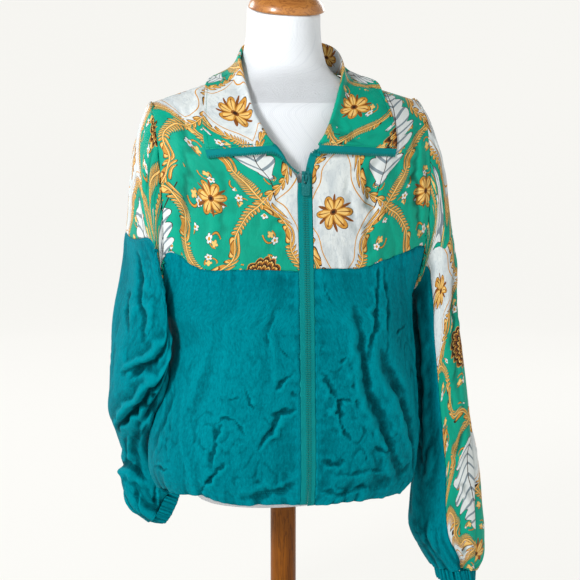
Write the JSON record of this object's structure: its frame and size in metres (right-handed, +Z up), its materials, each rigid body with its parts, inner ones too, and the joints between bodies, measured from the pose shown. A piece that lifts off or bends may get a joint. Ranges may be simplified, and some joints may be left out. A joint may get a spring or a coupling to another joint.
{
  "type": "windbreaker on a dress form",
  "caption": "Loose zip windbreaker with printed yokes and an open folded collar, worn by a limbless dress form on a pole and a round base.",
  "frame": {"origin": "centre of the base's flat underside", "axes": "+Z up the pole, -Y the wearer's front, +X the wearer's left"},
  "size_m": [0.5931, 0.34, 1.0528],
  "materials": {
    "teal_cloth": "thin crinkled nylon, satin sheen",
    "printed_cloth": "thin crinkled nylon with a printed floral lattice",
    "zip_tape": "woven tape with moulded teeth",
    "form_jersey": "fine vertical jersey, matt",
    "cap_wood": "warm brown varnish",
    "dark_wood": "dark red-brown varnish",
    "zip_metal": "pale teal metal, semi-gloss"
  },
  "bodies": {
    "form_and_jacket": {"back": "teal_cloth", "collar": "printed_cloth", "cuff_left": "teal_cloth", "cuff_right": "teal_cloth", "form_base": "dark_wood", "form_neck_cap": "cap_wood", "form_pole": "dark_wood", "form_torso": "form_jersey", "front_left": "teal_cloth", "front_right": "teal_cloth", "sleeve_left_inner": "teal_cloth", "sleeve_left_outer_back": "printed_cloth", "sleeve_left_outer_front": "printed_cloth", "sleeve_left_top": "printed_cloth", "sleeve_right": "teal_cloth", "sleeve_right_top": "printed_cloth", "yoke_back": "printed_cloth", "yoke_front_left": "printed_cloth", "yoke_front_right": "printed_cloth", "zip_slider": "zip_metal", "zip_tape_left": "zip_tape", "zip_tape_left_open": "zip_tape", "zip_tape_right": "zip_tape", "zip_tape_right_open": "zip_tape"},
    "pull_tab": {"zip_pull": "zip_metal"}
  },
  "joints": [
    {"name": "pull_swing", "type": "hinge", "parent": "form_and_jacket", "child": "pull_tab", "pos_m": [0, -0.125, 0.7864], "axis": [-1, 0, 0], "range_deg": [0, 150]}
  ]
}
